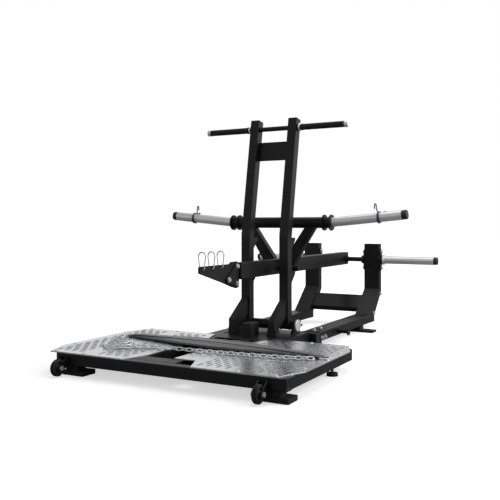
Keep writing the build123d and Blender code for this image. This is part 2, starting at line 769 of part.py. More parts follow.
with BuildPart() as lever_beam:
    with BuildSketch(along(LEVER_FRONT)):
        with Locations((0, LEVER_Z)):
            RectangleRounded(LEVER_WIDTH, LEVER_HEIGHT, 5)
            Rectangle(LEVER_WIDTH - 2 * WALL, LEVER_HEIGHT - 2 * WALL, mode=Mode.SUBTRACT)
    extrude(amount=LEVER_FRONT - LEVER_BACK)
    with BuildSketch(across(-LEVER_WIDTH / 2)):
        with Locations((PIVOT_Y, PIVOT_Z)):
            Circle(SHAFT_R)
        with Locations((RACK_Y, RACK_Z)):
            Circle(RACK_BAR_R)
    extrude(amount=LEVER_WIDTH, mode=Mode.SUBTRACT)
save(lever_beam.part, "lever_beam")

with BuildPart() as pivot_shaft:
    reach = RAIL_OUTER + BEARING - 1
    with BuildSketch(across(-reach)):
        with Locations((PIVOT_Y, PIVOT_Z)):
            Circle(SHAFT_R)
    extrude(amount=2 * reach)
    for side in SIDES:
        with BuildSketch(across(side * LEVER_WIDTH / 2)):
            with Locations((PIVOT_Y, PIVOT_Z)):
                Circle(24)
        extrude(amount=side * 12)
save(pivot_shaft.part, "pivot_shaft")

with BuildPart() as rack_bar:
    with BuildSketch(across(-150)):
        with Locations((RACK_Y, RACK_Z)):
            Circle(RACK_BAR_R)
    extrude(amount=300)
    chamfer(rack_bar.edges().filter_by(GeomType.CIRCLE), 2)
save(rack_bar.part, "rack_bar")

TONGUE = 10.0
HOOK = 12.0

with BuildPart() as tongue_plate:
    with BuildSketch(along(LEVER_FRONT - TONGUE)):
        with Locations((0, LEVER_Z)):
            Rectangle(LEVER_WIDTH, LEVER_HEIGHT)
    extrude(amount=-TONGUE)
    with BuildSketch(across(HOOK / 2)):
        with BuildLine():
            Polyline(
                (LEVER_FRONT - TONGUE, LEVER_TOP - 2),
                (LEVER_FRONT - 30, LEVER_TOP - 2),
                (LEVER_FRONT - 132, LEVER_TOP - 74),
                (LEVER_FRONT - 120, LEVER_TOP - 92),
                (LEVER_FRONT - TONGUE, LEVER_TOP - 120),
                close=True,
            )
        make_face()
    extrude(amount=8)
save(tongue_plate.part, "tongue_plate")

HOLES_Y = (FRONT + 372.0, FRONT + 454.0, FRONT + 536.0)
HOLES_Z = 455.0

with BuildPart() as hook_plate:
    with BuildSketch(across(-HOOK / 2)):
        with BuildLine():
            Polyline(
                (FRONT + 347, 471),
                (FRONT + 620, 470),
                (FRONT + 638, 480),
                (LEVER_FRONT - TONGUE - 1, 480),
                (LEVER_FRONT - TONGUE - 1, 346),
                (FRONT + 643, 356),
                (FRONT + 552, 384),
                (FRONT + 347, 440),
                close=True,
            )
        make_face()
        with Locations(*[(y, HOLES_Z) for y in HOLES_Y]):
            Circle(7, mode=Mode.SUBTRACT)
    extrude(amount=HOOK)
    fillet(hook_plate.edges().filter_by(Axis.X).filter_by(GeomType.LINE).group_by(Axis.Y)[0], 8)
save(hook_plate.part, "hook_plate")

HOOK_BOLTS = ((FRONT + 672, 458), (FRONT + 590, 396), (FRONT + 672, 372))

with BuildPart() as hook_bolts:
    for face, way in ((HOOK / 2 + 8, 1), (-HOOK / 2, -1)):
        seat = Plane(origin=(face, 0, 0), x_dir=(0, 1, 0), z_dir=(way, 0, 0))
        add(bolt_heads(seat, [(y, way * z) for y, z in HOOK_BOLTS]))
save(hook_bolts.part, "hook_bolts")

with BuildPart() as lever_struts:
    for side in SIDES:
        for inset, mode in ((0, Mode.ADD), (WALL, Mode.SUBTRACT)):
            with BuildSketch(along(WEIGHT_Y - 20 + inset)):
                with BuildLine():
                    Polyline(
                        (side * LEVER_WIDTH / 2, 400),
                        (side * LEVER_WIDTH / 2, 466),
                        (side * 172, WEIGHT_Z),
                        (side * 228, WEIGHT_Z),
                        (side * 62, 400),
                        close=True,
                    )
                make_face()
                offset(amount=-inset, kind=Kind.INTERSECTION, mode=Mode.REPLACE)
            extrude(amount=2 * inset - 40, mode=mode)
        with BuildSketch(across(side * 100)):
            with Locations((WEIGHT_Y, WEIGHT_Z)):
                Circle(30)
        extrude(amount=side * 160, mode=Mode.SUBTRACT)
save(lever_struts.part, "lever_struts")

FLANGE = 8.0

with BuildPart() as weight_tube:
    with BuildSketch(across(-WEIGHT_HALF)):
        with Locations((WEIGHT_Y, WEIGHT_Z)):
            Circle(30)
            Circle(26, mode=Mode.SUBTRACT)
    extrude(amount=2 * WEIGHT_HALF)
    for side in SIDES:
        for start in (WEIGHT_HALF - FLANGE, WEIGHT_HALF - 48):
            with BuildSketch(across(side * start)):
                with Locations((WEIGHT_Y, WEIGHT_Z)):
                    Circle(43)
            extrude(amount=side * FLANGE)
save(weight_tube.part, "weight_tube")


def horn_plane(side, distance):
    """Plane square to a tilted weight horn, distance along it from the flange."""
    tilt = radians(HORN_TILT)
    way = (side * cos(tilt), 0, sin(tilt))
    root = (side * WEIGHT_HALF, WEIGHT_Y, WEIGHT_Z + 2)
    origin = tuple(start + distance * step for start, step in zip(root, way))
    return Plane(origin=origin, x_dir=(0, 1, 0), z_dir=way)


with BuildPart() as weight_horns:
    for side in SIDES:
        with BuildSketch(horn_plane(side, 3)):
            Circle(HORN_R)
            Circle(HORN_R - HORN_WALL, mode=Mode.SUBTRACT)
        extrude(amount=HORN_LENGTH - 3)
save(weight_horns.part, "weight_horns")

with BuildPart() as weight_horn_caps:
    for side in SIDES:
        with BuildSketch(horn_plane(side, HORN_LENGTH)):
            Circle(CAP_R)
        extrude(amount=28)
    tips = weight_horn_caps.edges().filter_by(GeomType.CIRCLE).group_by(Axis.X)
    fillet(tips[0] + tips[-1], 5)
save(weight_horn_caps.part, "weight_horn_caps")

# ---------------------------------------------------------------- spring collars
COLLAR_AT = 262.0
COLLAR_WIRE = 3.5
COLLAR_COIL = HORN_R + GAP + COLLAR_WIRE

for name, side in zip(("left", "right"), SIDES):
    with BuildPart() as collar:
        for turn in (-1, 0, 1):
            ring_plane = horn_plane(side, COLLAR_AT + turn * 6.8)
            with BuildSketch(ring_plane):
                Circle(COLLAR_COIL + COLLAR_WIRE)
                Circle(COLLAR_COIL - COLLAR_WIRE, mode=Mode.SUBTRACT)
            extrude(amount=COLLAR_WIRE, both=True)
        for turn, lean in ((-1, -14.0), (1, 16.0)):
            foot = horn_plane(side, COLLAR_AT + turn * 6.8).origin + Vector(0, 0, COLLAR_COIL)
            eye = foot + Vector(side * lean, 0, 40)
            leg = Plane(origin=foot, z_dir=eye - foot)
            with BuildSketch(leg):
                Circle(COLLAR_WIRE)
            extrude(amount=28)
            with Locations(Location(eye, (90, 0, 0))):
                Torus(13, COLLAR_WIRE)
    save(collar.part, f"spring_collar_{name}")

# ---------------------------------------------------------------- snap hooks and their gates
SNAP_WIRE = 3.5
GATE_LOW = 0.22
GATE_PIN = 0.27
GATE_HIGH = 0.80
SNAP_SIDE_X = (12.5, 19.0)
SNAP_SIDE_Z = (12.5, 62.0)


def snap_side(t):
    """Point on the straight side of a snap hook, t from the lower bow to the upper bow."""
    x = SNAP_SIDE_X[0] + t * (SNAP_SIDE_X[1] - SNAP_SIDE_X[0])
    z = SNAP_SIDE_Z[0] + t * (SNAP_SIDE_Z[1] - SNAP_SIDE_Z[0])
    return x, z


for number, hole_y in enumerate(HOLES_Y, start=1):
    face = Plane(origin=(0, hole_y, HOLES_Z), x_dir=(1, 0, 0), z_dir=(0, -1, 0))
    gate_foot = snap_side(GATE_LOW)
    gate_head = snap_side(GATE_HIGH)
    with BuildPart() as snap_hook:
        with BuildLine(face) as wire:
            Line(gate_head, snap_side(1))
            ThreePointArc(snap_side(1), (0, 81), (-snap_side(1)[0], snap_side(1)[1]))
            Line((-snap_side(1)[0], snap_side(1)[1]), (-snap_side(0)[0], snap_side(0)[1]))
            ThreePointArc((-snap_side(0)[0], snap_side(0)[1]), (0, 0), snap_side(0))
            Line(snap_side(0), gate_foot)
        with BuildSketch(Plane(origin=wire.line @ 0, z_dir=wire.line % 0)):
            Circle(SNAP_WIRE)
        sweep()
    save(snap_hook.part, f"snap_hook_{number}")
    with BuildPart() as snap_gate:
        foot = face.from_local_coords(Vector(*snap_side(GATE_PIN - 0.02), 0))
        head = face.from_local_coords(Vector(*snap_side(GATE_HIGH - 0.015), 0))
        with BuildSketch(Plane(origin=foot, z_dir=head - foot)):
            Circle(SNAP_WIRE - 0.7)
        extrude(amount=(head - foot).length)
        with BuildSketch(Plane(face.from_local_coords(Vector(*snap_side(GATE_PIN), 0)), z_dir=(0, -1, 0))):
            Circle(1.2)
        extrude(amount=SNAP_WIRE + 0.5, both=True)
    save(snap_gate.part, f"snap_gate_{number}")

# ---------------------------------------------------------------- belt and chain on the platform
BELT_LEFT = (-488.0, FRONT + 487)
BELT_RIGHT = (566.0, FRONT + 412)
BELT_THICK = 24.0
BELT_REST = DECK_TOP + GAP

with BuildPart() as belt_pad:
    length = hypot(BELT_RIGHT[0] - BELT_LEFT[0], BELT_RIGHT[1] - BELT_LEFT[1])
    heading = degrees(atan2(BELT_RIGHT[1] - BELT_LEFT[1], BELT_RIGHT[0] - BELT_LEFT[0]))
    middle = ((BELT_LEFT[0] + BELT_RIGHT[0]) / 2, (BELT_LEFT[1] + BELT_RIGHT[1]) / 2)
    flat = Plane(
        origin=(middle[0], middle[1], BELT_REST),
        x_dir=(cos(radians(heading)), sin(radians(heading)), 0),
        z_dir=(0, 0, 1),
    )
    half = length / 2
    with BuildSketch(flat):
        with BuildLine():
            Spline((-half, 26), (-half * 0.55, 62), (0, 92), (half * 0.55, 62), (half, 26))
            Line((half, 26), (half, -26))
            Spline((half, -26), (half * 0.55, -62), (0, -92), (-half * 0.55, -62), (-half, -26))
            Line((-half, -26), (-half, 26))
        make_face()
    extrude(amount=BELT_THICK)
save(belt_pad.part, "belt_pad")

LINK_WIRE = 3.0
LINK_PITCH = 25.2
LINK_HALF = 5.0            # half of the straight run of a link
LINK_BOW = 8.0             # radius of a link's bow
CHAIN_Z = DECK_TOP + LINK_WIRE + LINK_BOW * sin(radians(45)) + GAP
CHAIN_ROUTE = (
    (-508, 446),
    (-512, 380),
    (-470, 318),
    (-392, 330),
    (-340, 300),
    (-368, 246),
    (-428, 222),
    (-400, 176),
    (-310, 190),
    (-226, 246),
    (-130, 262),
    (30, 272),
    (200, 284),
    (360, 300),
    (470, 322),
    (560, 352),
)

with BuildLine() as chain_line:
    Spline(*[(x, FRONT + y, CHAIN_Z) for x, y in CHAIN_ROUTE])

with BuildPart() as link:
    with BuildLine() as oval:
        Line((-LINK_HALF, LINK_BOW), (LINK_HALF, LINK_BOW))
        ThreePointArc((LINK_HALF, LINK_BOW), (LINK_HALF + LINK_BOW, 0), (LINK_HALF, -LINK_BOW))
        Line((LINK_HALF, -LINK_BOW), (-LINK_HALF, -LINK_BOW))
        ThreePointArc((-LINK_HALF, -LINK_BOW), (-LINK_HALF - LINK_BOW, 0), (-LINK_HALF, LINK_BOW))
    with BuildSketch(Plane(origin=oval.line @ 0, z_dir=oval.line % 0)):
        Circle(LINK_WIRE)
    sweep()

chain_path = chain_line.wire()
LINK_COUNT = int(chain_path.length / LINK_PITCH)
links = []
for index in range(LINK_COUNT):
    spot = (index + 0.5) / LINK_COUNT
    here = chain_path @ spot
    ahead = chain_path % spot
    roll = 45 if index % 2 else -45
    yaw = degrees(atan2(ahead.Y, ahead.X))
    links.append(Pos(here.X, here.Y, here.Z) * Rot(0, 0, yaw) * Rot(roll, 0, 0) * link.part)

with BuildPart() as end_ring:
    with BuildLine(Plane.XY) as triangle:
        FilletPolyline((0, -31), (38, -22), (38, 22), (0, 31), close=True, radius=9)
    with BuildSketch(Plane(origin=triangle.line @ 0, z_dir=triangle.line % 0)):
        Circle(LINK_WIRE)
    sweep()

RING_Z = BELT_REST + LINK_WIRE
ring_left = Pos(BELT_LEFT[0] - 4, BELT_LEFT[1], RING_Z) * Rot(0, 0, heading + 180) * end_ring.part
ring_right = Pos(BELT_RIGHT[0] + 4, BELT_RIGHT[1], RING_Z) * Rot(0, 0, heading) * end_ring.part
save(Compound(children=[*links, ring_left, ring_right]), "belt_chain")
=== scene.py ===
"""Looks of the plate-loaded lever belt squat machine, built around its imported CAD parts."""
from math import cos, pi, radians, sin

import bmesh
import bpy
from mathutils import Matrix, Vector
from mathutils.bvhtree import BVHTree


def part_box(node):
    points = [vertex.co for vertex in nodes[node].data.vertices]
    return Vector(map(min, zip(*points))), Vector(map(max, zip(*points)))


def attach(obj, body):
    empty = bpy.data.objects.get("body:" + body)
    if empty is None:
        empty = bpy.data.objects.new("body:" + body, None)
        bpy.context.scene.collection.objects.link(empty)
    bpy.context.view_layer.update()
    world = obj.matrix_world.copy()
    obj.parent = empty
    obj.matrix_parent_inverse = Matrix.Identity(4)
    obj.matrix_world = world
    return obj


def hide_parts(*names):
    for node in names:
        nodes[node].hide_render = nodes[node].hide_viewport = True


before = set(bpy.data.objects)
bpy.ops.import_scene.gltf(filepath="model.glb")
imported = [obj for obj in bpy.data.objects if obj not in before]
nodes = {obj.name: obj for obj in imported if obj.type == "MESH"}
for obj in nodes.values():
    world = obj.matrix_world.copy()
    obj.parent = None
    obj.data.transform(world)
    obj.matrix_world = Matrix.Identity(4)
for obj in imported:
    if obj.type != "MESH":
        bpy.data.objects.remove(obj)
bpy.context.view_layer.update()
scene = bpy.context.scene
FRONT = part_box("front_beam")[0].y      # front edge of the platform
SIDES = (-1, 1)


# ------------------------------------------------------------ black frame
# Square and flat steel tube, welded and then powder coated satin black. The baked powder leaves a
# fine orange peel, and a dull grey sheen where light grazes it.
def linear(code):
    """An sRGB hex colour as linear RGBA."""
    parts = [int(code[i:i + 2], 16) / 255 for i in (1, 3, 5)]
    return [p / 12.92 if p <= 0.04045 else ((p + 0.055) / 1.055) ** 2.4 for p in parts] + [1.0]


def add(tree, kind, inputs, **settings):
    """One node with its settings; an input given as a socket is linked, any other value is set."""
    made = tree.nodes.new(kind)
    for key, value in settings.items():
        setattr(made, key, value)
    for key, value in inputs.items():
        if isinstance(value, bpy.types.NodeSocket):
            tree.links.new(value, made.inputs[key])
        else:
            made.inputs[key].default_value = value
    return made


def material(name):
    """A new node material: the material, its tree and its object coordinates in metres."""
    made = bpy.data.materials.new(name)
    made.use_nodes = True
    made.node_tree.nodes.clear()
    place = add(made.node_tree, "ShaderNodeTexCoord", {}).outputs["Object"]
    return made, made.node_tree, place


def close(tree, shader):
    """Join a shader node to the material's output."""
    add(tree, "ShaderNodeOutputMaterial", {"Surface": shader.outputs["BSDF"]})


def spread(tree, value, lowest, highest):
    """A 0 to 1 value stretched to another range."""
    return add(
        tree, "ShaderNodeMapRange", {"Value": value, "To Min": lowest, "To Max": highest}
    ).outputs["Result"]


def blotches(tree, place, scale, dark, light):
    """Slow colour change between two hex colours."""
    cloud = add(tree, "ShaderNodeTexNoise", {"Vector": place, "Scale": scale, "Detail": 3.0})
    mixed = add(
        tree,
        "ShaderNodeMix",
        {"Factor": cloud.outputs["Fac"], 6: linear(dark), 7: linear(light)},
        data_type="RGBA",
    )
    return mixed.outputs[2], cloud.outputs["Fac"]


def dress(names, finish):
    """Put one material on CAD nodes."""
    for name in names:
        slots = nodes[name].data.materials
        slots.clear()
        slots.append(finish)


PEEL = 0.0016              # orange peel, one bump every 1.6 mm

powder, tree, place = material("powder_coated_steel_black")
colour, cloud = blotches(tree, place, 9.0, "#131314", "#1b1b1d")
peel = add(tree, "ShaderNodeTexNoise", {"Vector": place, "Scale": 1 / PEEL, "Detail": 2.0})
close(tree, add(tree, "ShaderNodeBsdfPrincipled", {
    "Base Color": colour,
    "Roughness": spread(tree, cloud, 0.36, 0.48),
    "Specular IOR Level": 0.26,
    "Normal": add(tree, "ShaderNodeBump", {
        "Height": peel.outputs["Fac"], "Strength": 0.25, "Distance": 0.0002,
    }).outputs["Normal"],
}))
dress((
    "front_beam", "rear_beam", "side_beams", "slot_beams", "deck_ribs", "slot_tray",
    "wheel_brackets", "base_plate", "cross_beam", "floor_rails", "upright_left",
    "upright_right", "rear_cross_beam", "band_pegs", "flange_bearings", "tower_ears",
    "pivot_sleeve", "post_left", "post_right", "tower_braces", "rack_catches",
    "cross_plate", "handle_bar", "lever_beam", "pivot_shaft", "tongue_plate",
    "hook_plate", "lever_struts", "weight_tube", "rack_bar",
), powder)


def mesh_object(name, mesh_data, finish, body, smooth=True):
    """An object for finished mesh data, riding on a body."""
    made = bpy.data.objects.new(name, mesh_data)
    scene.collection.objects.link(made)
    mesh_data.materials.append(finish)
    for face in mesh_data.polygons:
        face.use_smooth = smooth
    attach(made, body)
    return made


def from_bmesh(work, name):
    """Mesh data from a bmesh, with its doubles merged and its normals outward."""
    bmesh.ops.remove_doubles(work, verts=work.verts, dist=1e-6)
    bmesh.ops.recalc_face_normals(work, faces=work.faces)
    data = bpy.data.meshes.new(name)
    work.to_mesh(data)
    work.free()
    return data


# ------------------------------------------------------------ weld beads
# Every tube is joined by a MIG fillet weld under the powder: a bead about 5 mm wide with the small
# ripples of a hand-held torch, in the same black coat.
BEAD = 0.0026
RIPPLE = 0.0035            # length of one ripple


def bead(work, corners):
    """A rippled bead round a closed run of corners."""
    count = len(corners)
    for index in range(count):
        start, end = Vector(corners[index]), Vector(corners[(index + 1) % count])
        way = (end - start).normalized()
        side = way.orthogonal().normalized()
        other = way.cross(side)
        steps = max(2, round((end - start).length / RIPPLE))
        last = None
        for step in range(2 * steps + 1):
            middle = start + (end - start) * step / (2 * steps)
            radius = BEAD * (1.0 if step % 2 else 0.82)
            ring = [
                work.verts.new(middle + radius * (cos(a) * side + sin(a) * other))
                for a in (pi * k / 4 for k in range(8))
            ]
            if last:
                for k in range(8):
                    work.faces.new((last[k], last[k - 1], ring[k - 1], ring[k]))
            last = ring


def rectangle_x(x, y0, y1, z0, z1):
    """Corners of a rectangle square to X."""
    return [(x, y0, z0), (x, y1, z0), (x, y1, z1), (x, y0, z1)]


def rectangle_y(y, x0, x1, z0, z1):
    """Corners of a rectangle square to Y."""
    return [(x0, y, z0), (x1, y, z0), (x1, y, z1), (x0, y, z1)]


def rectangle_z(z, x0, x1, y0, y1):
    """Corners of a rectangle square to Z."""
    return [(x0, y0, z), (x1, y0, z), (x1, y1, z), (x0, y1, z)]


TURNS = 32


def ring_x(x, y, z, radius):
    """Corners of a circle square to X."""
    return [
        (x, y + radius * cos(2 * pi * k / TURNS), z + radius * sin(2 * pi * k / TURNS))
        for k in range(TURNS)
    ]


RAIL_WIDTH = 0.1
CATCH_TOPS = (0.412, 0.592)
CATCH_DROP = 0.066         # how far a catch's weld runs down the post
CATCH_HALF = 0.022
POST_HALF = 0.025
SLEEVE_WELD_R = 0.0245
BAR_WELD_R = 0.013
POST_FACES = (0.0885, 0.1395)
STRUT_WELD_Z = (0.400, 0.466)
SHAFT_WELD_R = 0.0245
RACK_BAR_WELD_R = 0.0145

seams = bmesh.new()
plate_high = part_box("base_plate")[1]
ear_low, ear_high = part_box("tower_ears")
rail_low, rail_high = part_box("floor_rails")
RAIL_IN = rail_high.x - RAIL_WIDTH
for side in SIDES:
    edges = sorted((side * RAIL_IN, side * ear_high.x))
    bead(seams, rectangle_z(plate_high.z, edges[0], edges[1], ear_low.y, ear_high.y))
    edges = sorted((side * RAIL_IN, side * rail_high.x))
    bead(seams, rectangle_y(rail_low.y, edges[0], edges[1], rail_low.z, rail_high.z))
mesh_object("frame_welds", from_bmesh(seams, "frame_welds"), powder, "frame")

seams = bmesh.new()
post_low, post_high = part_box("post_right")
catch_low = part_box("rack_catches")[0]
sleeve_low, sleeve_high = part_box("pivot_sleeve")
sleeve = (sleeve_low + sleeve_high) / 2
for side in SIDES:
    middle = side * (post_low.x + post_high.x) / 2
    for top in CATCH_TOPS:
        bead(seams, rectangle_y(
            catch_low.y, middle - CATCH_HALF, middle + CATCH_HALF, top - CATCH_DROP, top
        ))
    for x in (middle - POST_HALF, middle + POST_HALF):
        bead(seams, ring_x(x, sleeve.y, sleeve.z, SLEEVE_WELD_R))
bar_low, bar_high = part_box("handle_bar")
bar = (bar_low + bar_high) / 2
for side in SIDES:
    for x in POST_FACES:
        bead(seams, ring_x(side * x, bar.y, bar.z, BAR_WELD_R))
mesh_object("tower_welds", from_bmesh(seams, "tower_welds"), powder, "tower")

seams = bmesh.new()
lever_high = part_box("lever_beam")[1]
strut_low, strut_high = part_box("lever_struts")
shaft_low, shaft_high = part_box("pivot_shaft")
shaft = (shaft_low + shaft_high) / 2
rack_low, rack_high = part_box("rack_bar")
rack = (rack_low + rack_high) / 2
for side in SIDES:
    face = side * lever_high.x
    bead(seams, rectangle_x(face, strut_low.y, strut_high.y, *STRUT_WELD_Z))
    bead(seams, ring_x(face, shaft.y, shaft.z, SHAFT_WELD_R))
    bead(seams, ring_x(face, rack.y, rack.z, RACK_BAR_WELD_R))
mesh_object("lever_welds", from_bmesh(seams, "lever_welds"), powder, "lever")

# ------------------------------------------------------------ tread plates
# Bright aluminium sheet, laid flat on the frame and screwed down. Two panels in each plate are
# pressed with staggered raised ribs for grip, and the strips around them stay smooth. The ribs
# are rougher, and painted a darker grey than the sheet: painted shade for their slopes, which
# reflect the dim room overhead.
MILL = 0.0009              # rolling lines run front to back, one every 0.9 mm

tread, tree, place = material("aluminium_tread_sheet")
colour, cloud = blotches(tree, place, 5.0, "#c9cacc", "#e4e5e6")
stretched = add(tree, "ShaderNodeMapping", {
    "Vector": place, "Scale": (1 / MILL, 0.02 / MILL, 1 / MILL),
}).outputs["Vector"]
lines = add(tree, "ShaderNodeTexNoise", {"Vector": stretched, "Scale": 1.0, "Detail": 3.0})
close(tree, add(tree, "ShaderNodeBsdfPrincipled", {
    "Base Color": colour,
    "Metallic": 1.0,
    "Roughness": spread(tree, lines.outputs["Fac"], 0.2, 0.34),
    "Normal": add(tree, "ShaderNodeBump", {
        "Height": lines.outputs["Fac"], "Strength": 0.12, "Distance": 0.0001,
    }).outputs["Normal"],
}))
dress(("tread_plate_left", "tread_plate_right"), tread)

# Painted shade: the ribs' base colour is a darker grey than the sheet, standing in for their slopes
# reflecting the dim room overhead; their higher roughness is their own.
dull_ribs_painted_shade, tree, place = material("dull_aluminium_ribs_painted_shade")
colour, cloud = blotches(tree, place, 60.0, "#858688", "#a5a6a8")
close(tree, add(tree, "ShaderNodeBsdfPrincipled", {
    "Base Color": colour,
    "Metallic": 1.0,
    "Roughness": spread(tree, cloud, 0.4, 0.55),
}))

RIB_LONG = 0.054           # raised ribs of the tread pattern
RIB_WIDE = 0.009
RIB_RISE = 0.0018
COLUMN_STEP = 0.022        # between columns of ribs
RIB_STEP = 0.062           # between ribs in a column
PANELS = {
    "tread_ribs_left": ((-0.563, -0.409), (-0.320, -0.178)),
    "tread_ribs_right": ((0.190, 0.338), (0.425, 0.575)),
}
PANEL_FRONT = FRONT + 0.062
PANEL_BACK = FRONT + 0.695
RIB_DOME = ((1.0, -0.1), (0.86, 0.45), (0.6, 0.8), (0.28, 0.97))   # shares of size and of rise


def rib(work, x, y, z):
    """One raised rib: a low dome drawn out front to back."""
    rings = []
    for share, rise in RIB_DOME:
        rings.append([
            work.verts.new((
                x + share * RIB_WIDE / 2 * cos(2 * pi * k / 16),
                y + share * RIB_LONG / 2 * sin(2 * pi * k / 16),
                z + rise * RIB_RISE,
            ))
            for k in range(16)
        ])
    for lower, upper in zip(rings, rings[1:]):
        for k in range(16):
            work.faces.new((lower[k - 1], lower[k], upper[k], upper[k - 1]))
    work.faces.new(rings[-1])


plate_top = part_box("tread_plate_left")[1].z
for name, panels in PANELS.items():
    ribs = bmesh.new()
    for left, right in panels:
        for column in range(int((right - left) / COLUMN_STEP) + 1):
            y = PANEL_FRONT + (RIB_STEP / 2 if column % 2 else 0)
            while y <= PANEL_BACK:
                rib(ribs, left + column * COLUMN_STEP, y, plate_top)
                y += RIB_STEP
    mesh_object(name, from_bmesh(ribs, name), dull_ribs_painted_shade, "frame")

# ------------------------------------------------------------ zinc fasteners, chain and hooks
# Screws, hex bolts, wheel axles, chain links, rings and snap hooks are carbon steel with bright
# zinc plating: silvery with a faint blue, slightly cloudy, and glossy enough to flash.
zinc, tree, place = material("zinc_plated_steel")
colour, cloud = blotches(tree, place, 160.0, "#dddfe2", "#f0f1f2")
close(tree, add(tree, "ShaderNodeBsdfPrincipled", {
    "Base Color": colour,
    "Metallic": 0.75,
    "Roughness": spread(tree, cloud, 0.3, 0.46),
    "Normal": add(tree, "ShaderNodeBump", {
        "Height": cloud, "Strength": 0.06, "Distance": 0.0002,
    }).outputs["Normal"],
}))
dress((
    "tread_screws", "wheel_axles", "frame_bolts", "hook_bolts", "belt_chain",
    "snap_hook_1", "snap_hook_2", "snap_hook_3", "snap_gate_1", "snap_gate_2", "snap_gate_3",
), zinc)

# ------------------------------------------------------------ plate horns
# 50 mm steel tube, turned and plated in satin chrome. The fine turning marks run round the tube,
# so its highlight is long and soft.
TURNING = 0.0007           # one turning mark every 0.7 mm

chrome, tree, place = material("satin_chromed_steel")
colour, cloud = blotches(tree, place, 14.0, "#e6e7e8", "#f2f2f3")
marks = add(tree, "ShaderNodeTexNoise", {
    "Vector": add(tree, "ShaderNodeMapping", {
        "Vector": place, "Scale": (1 / TURNING, 0.03 / TURNING, 0.03 / TURNING),
    }).outputs["Vector"],
    "Scale": 1.0,
    "Detail": 2.0,
})
close(tree, add(tree, "ShaderNodeBsdfPrincipled", {
    "Base Color": colour,
    "Metallic": 0.62,
    "Roughness": spread(tree, marks.outputs["Fac"], 0.38, 0.52),
    "Normal": add(tree, "ShaderNodeBump", {
        "Height": marks.outputs["Fac"], "Strength": 0.1, "Distance": 0.0001,
    }).outputs["Normal"],
}))
dress(("weight_horns", "storage_horns", "bar_end_caps", "tower_axle"), chrome)

# ------------------------------------------------------------ black plastic caps
# Injection moulded polyethylene plugs pressed into the horns and open tube ends, with a fine
# spark-eroded texture that takes the shine off.
GRAIN = 0.0012

plastic, tree, place = material("moulded_polyethylene_black")
colour, cloud = blotches(tree, place, 40.0, "#18181a", "#202022")
grain = add(tree, "ShaderNodeTexVoronoi", {"Vector": place, "Scale": 1 / GRAIN})
close(tree, add(tree, "ShaderNodeBsdfPrincipled", {
    "Base Color": colour,
    "Roughness": spread(tree, cloud, 0.42, 0.55),
    "Normal": add(tree, "ShaderNodeBump", {
        "Height": grain.outputs["Distance"], "Strength": 0.3, "Distance": 0.0002,
    }).outputs["Normal"],
}))
dress(("weight_horn_caps", "storage_horn_caps"), plastic)

PLUG_OUT = 0.003           # how far a plug stands out of its tube
PLUG_RIM = 0.0012          # rounded edge
PLUG_DISH = (0.009, 0.011)  # inset of the shallow dish in the face, at its rim and at its floor
PLUG_CORNER = 0.004
PLUG_LEAST = 0.0015        # least corner radius
TUBE_PLAY = 0.001


def plug(work, piece_low, piece_high, side):
    """A rounded plug over the end of a tube that runs along X, on one side."""
    middle = (piece_low + piece_high) / 2
    middle.x = piece_high.x if side > 0 else piece_low.x
    width = piece_high.y - piece_low.y - TUBE_PLAY
    height = piece_high.z - piece_low.z - TUBE_PLAY
    rings = []
    for inset, out in ((0.0, 0.0), (0.0, 0.6 * PLUG_OUT), (PLUG_RIM, PLUG_OUT),
                       (PLUG_DISH[0], PLUG_OUT), (PLUG_DISH[1], 0.55 * PLUG_OUT)):
        radius = max(PLUG_CORNER - inset / 2, PLUG_LEAST)
        ring = []
        for quarter, (sy, sz) in enumerate(((1, 1), (-1, 1), (-1, -1), (1, -1))):
            for step in range(5):
                angle = (quarter + step / 4) * pi / 2
                ring.append(work.verts.new((
                    middle.x + side * out,
                    middle.y + sy * (width / 2 - inset - radius) + radius * cos(angle),
                    middle.z + sz * (height / 2 - inset - radius) + radius * sin(angle),
                )))
        rings.append(ring)
    for lower, upper in zip(rings, rings[1:]):
        for k in range(len(lower)):
            work.faces.new((lower[k - 1], lower[k], upper[k], upper[k - 1]))
    work.faces.new(rings[0])
    work.faces.new(rings[-1])


ends = bmesh.new()
plug(ends, *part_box("front_beam"), 1)
mesh_object("front_beam_end_plate", from_bmesh(ends, "front_beam_end_plate"), powder, "frame", False)

plugs = bmesh.new()
for side in SIDES:
    plug(plugs, *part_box("cross_beam"), side)
mesh_object("frame_tube_plugs", from_bmesh(plugs, "frame_tube_plugs"), plastic, "frame", False)

# ------------------------------------------------------------ rubber feet, stops and wheels
# Moulded black rubber: nearly matt, with a faint dusty bloom. The wheels are solid rubber tyres on
# a plastic hub.
rubber, tree, place = material("moulded_rubber_black")
colour, cloud = blotches(tree, place, 30.0, "#151516", "#1f1f20")
fine = add(tree, "ShaderNodeTexNoise", {"Vector": place, "Scale": 900.0, "Detail": 2.0})
close(tree, add(tree, "ShaderNodeBsdfPrincipled", {
    "Base Color": colour,
    "Roughness": spread(tree, cloud, 0.62, 0.8),
    "Specular IOR Level": 0.4,
    "Normal": add(tree, "ShaderNodeBump", {
        "Height": fine.outputs["Fac"], "Strength": 0.3, "Distance": 0.0002,
    }).outputs["Normal"],
}))
dress(("front_feet", "levelling_feet", "rear_feet", "tower_stops", "bump_stop"), rubber)


def lathe_x(name, profile, centre, finish, body, turns=48):
    """A solid of revolution about X through a centre; the profile is (x, radius) from end to end."""
    work = bmesh.new()
    rings = []
    for x, radius in profile:
        rings.append([
            work.verts.new((
                centre[0] + x,
                centre[1] + radius * cos(2 * pi * k / turns),
                centre[2] + radius * sin(2 * pi * k / turns),
            ))
            for k in range(turns)
        ])
    for lower, upper in zip(rings, rings[1:]):
        for k in range(turns):
            work.faces.new((lower[k - 1], lower[k], upper[k], upper[k - 1]))
    return mesh_object(name, from_bmesh(work, name), finish, body)


